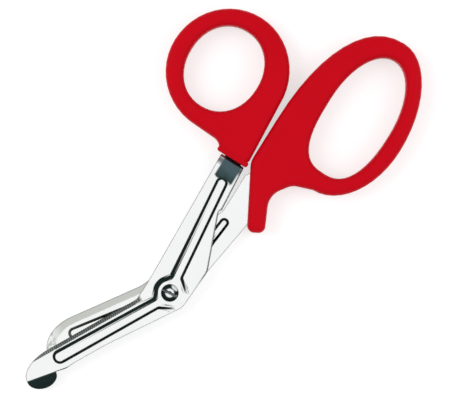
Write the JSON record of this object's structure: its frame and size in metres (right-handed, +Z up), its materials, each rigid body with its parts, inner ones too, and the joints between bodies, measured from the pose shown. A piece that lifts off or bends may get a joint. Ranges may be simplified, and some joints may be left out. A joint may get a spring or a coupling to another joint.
{
  "type": "trauma shears",
  "caption": "Angled rescue shears with a serrated, blunt-footed lower blade, a plain upper blade and moulded loop handles on a slotted pivot screw.",
  "frame": {"origin": "under the middle of the bounding box of the closed shears, on the surface they lie on", "axes": "+Z up through the flat of the blades, along the pivot; +X along the parting line towards the handles; +Y towards the thumb loop"},
  "size_m": [0.1822, 0.0932, 0.01],
  "materials": {
    "blade_steel": "bright pressed stainless steel, ground and serrated at the cutting edge",
    "pivot_steel": "plain turned steel",
    "red_plastic": "moulded, satin gloss"
  },
  "bodies": {
    "foot_half": {"foot_blade": "blade_steel", "thumb_handle": "red_plastic", "pivot_screw": "pivot_steel", "spring_washer": "pivot_steel", "pivot_nut": "pivot_steel"},
    "top_half": {"top_blade": "blade_steel", "finger_handle": "red_plastic"}
  },
  "joints": [
    {"name": "pivot", "type": "hinge", "parent": "foot_half", "child": "top_half", "pos_m": [-0.03381, -0.00183, 0.005], "axis": [0, 0, -1], "range_deg": [0, 120]}
  ]
}
